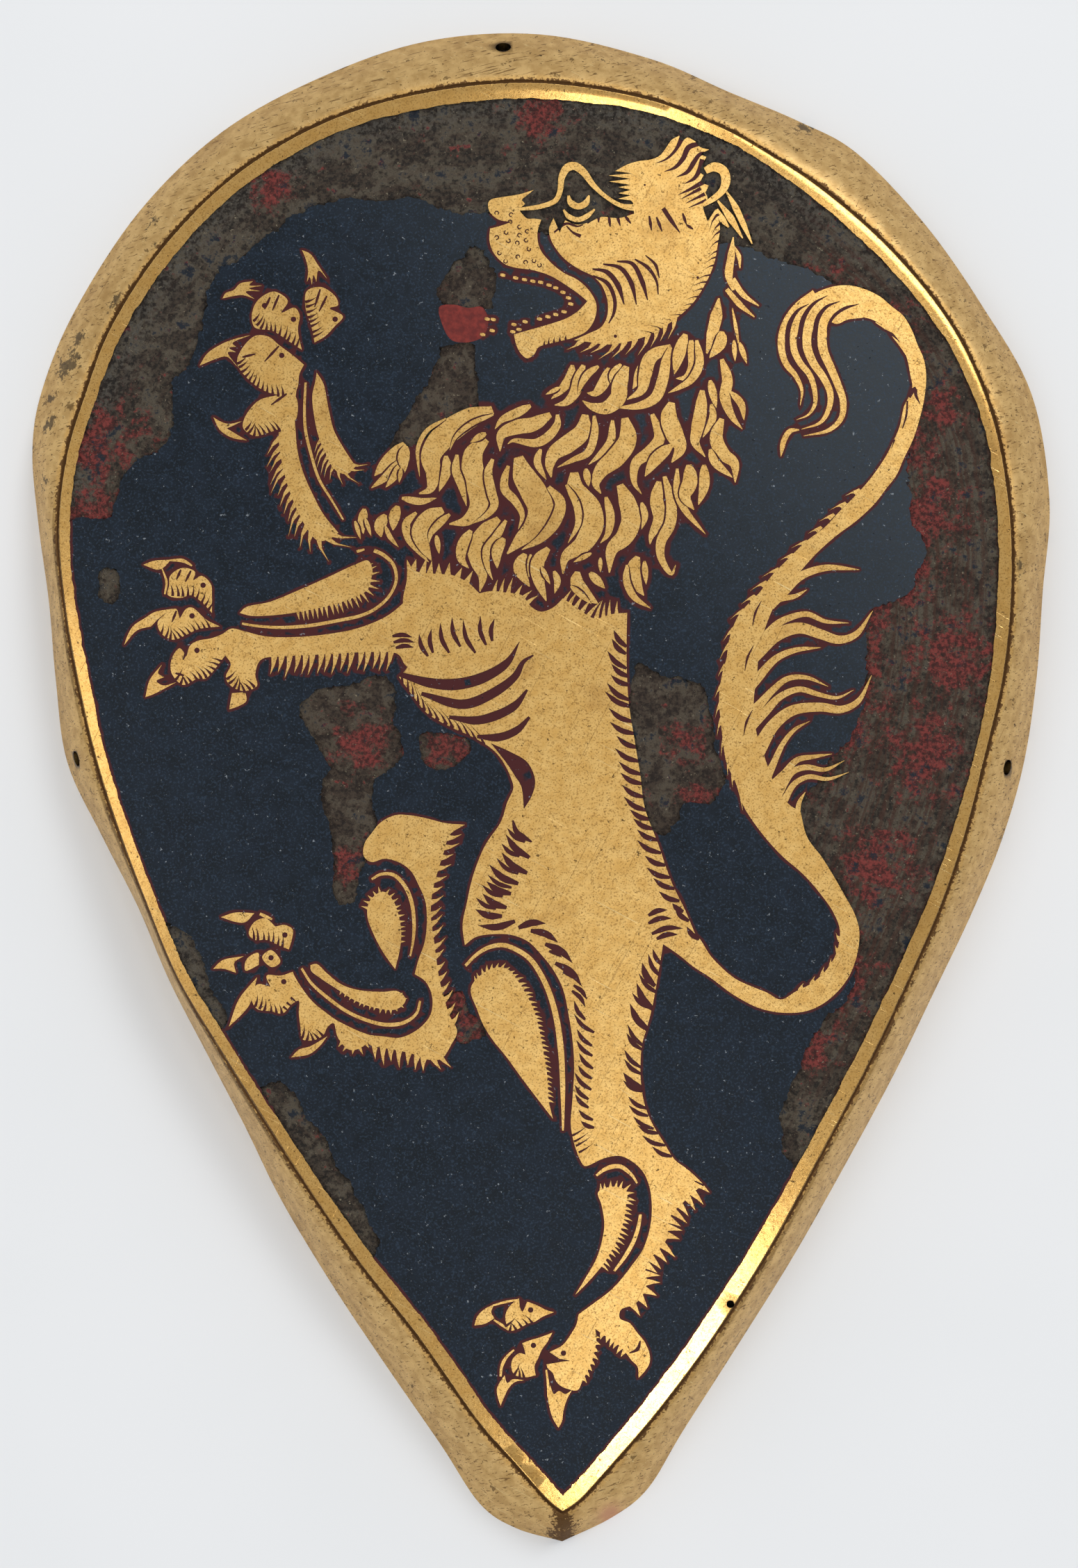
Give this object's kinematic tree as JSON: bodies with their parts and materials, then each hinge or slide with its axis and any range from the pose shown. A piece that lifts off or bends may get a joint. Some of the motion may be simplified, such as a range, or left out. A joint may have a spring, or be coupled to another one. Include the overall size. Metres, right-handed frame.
{
  "type": "heraldic shield",
  "caption": "Drop-shaped heraldic shield of gilded copper: a low hollow dome with a turned-back rim, its field inlaid with enamel around a rampant lion.",
  "frame": {"origin": "middle of the bounding box in plan, on the plane that the rim's edge rests on", "axes": "+Z out of the enamelled front, +Y to the round top of the shield, +X to the right of someone looking at the front"},
  "size_m": [0.1831, 0.2721, 0.02],
  "materials": {
    "gilt_copper": "fire-gilded and burnished, worn to copper along the rim's edge",
    "blue_enamel": "opaque dark blue glass enamel, ground level and polished, finely pitted",
    "red_enamel": "opaque brick-red glass enamel, worn"
  },
  "bodies": {
    "root": {"copper_plate": "gilt_copper", "blue_enamel_left": "blue_enamel", "blue_enamel_below": "blue_enamel", "blue_enamel_mouth": "blue_enamel", "blue_enamel_between_mane_and_tail": "blue_enamel", "blue_enamel_tail_outside": "blue_enamel", "blue_enamel_tail_loop": "blue_enamel", "blue_enamel_right": "blue_enamel", "red_enamel_tongue": "red_enamel"}
  },
  "joints": []
}
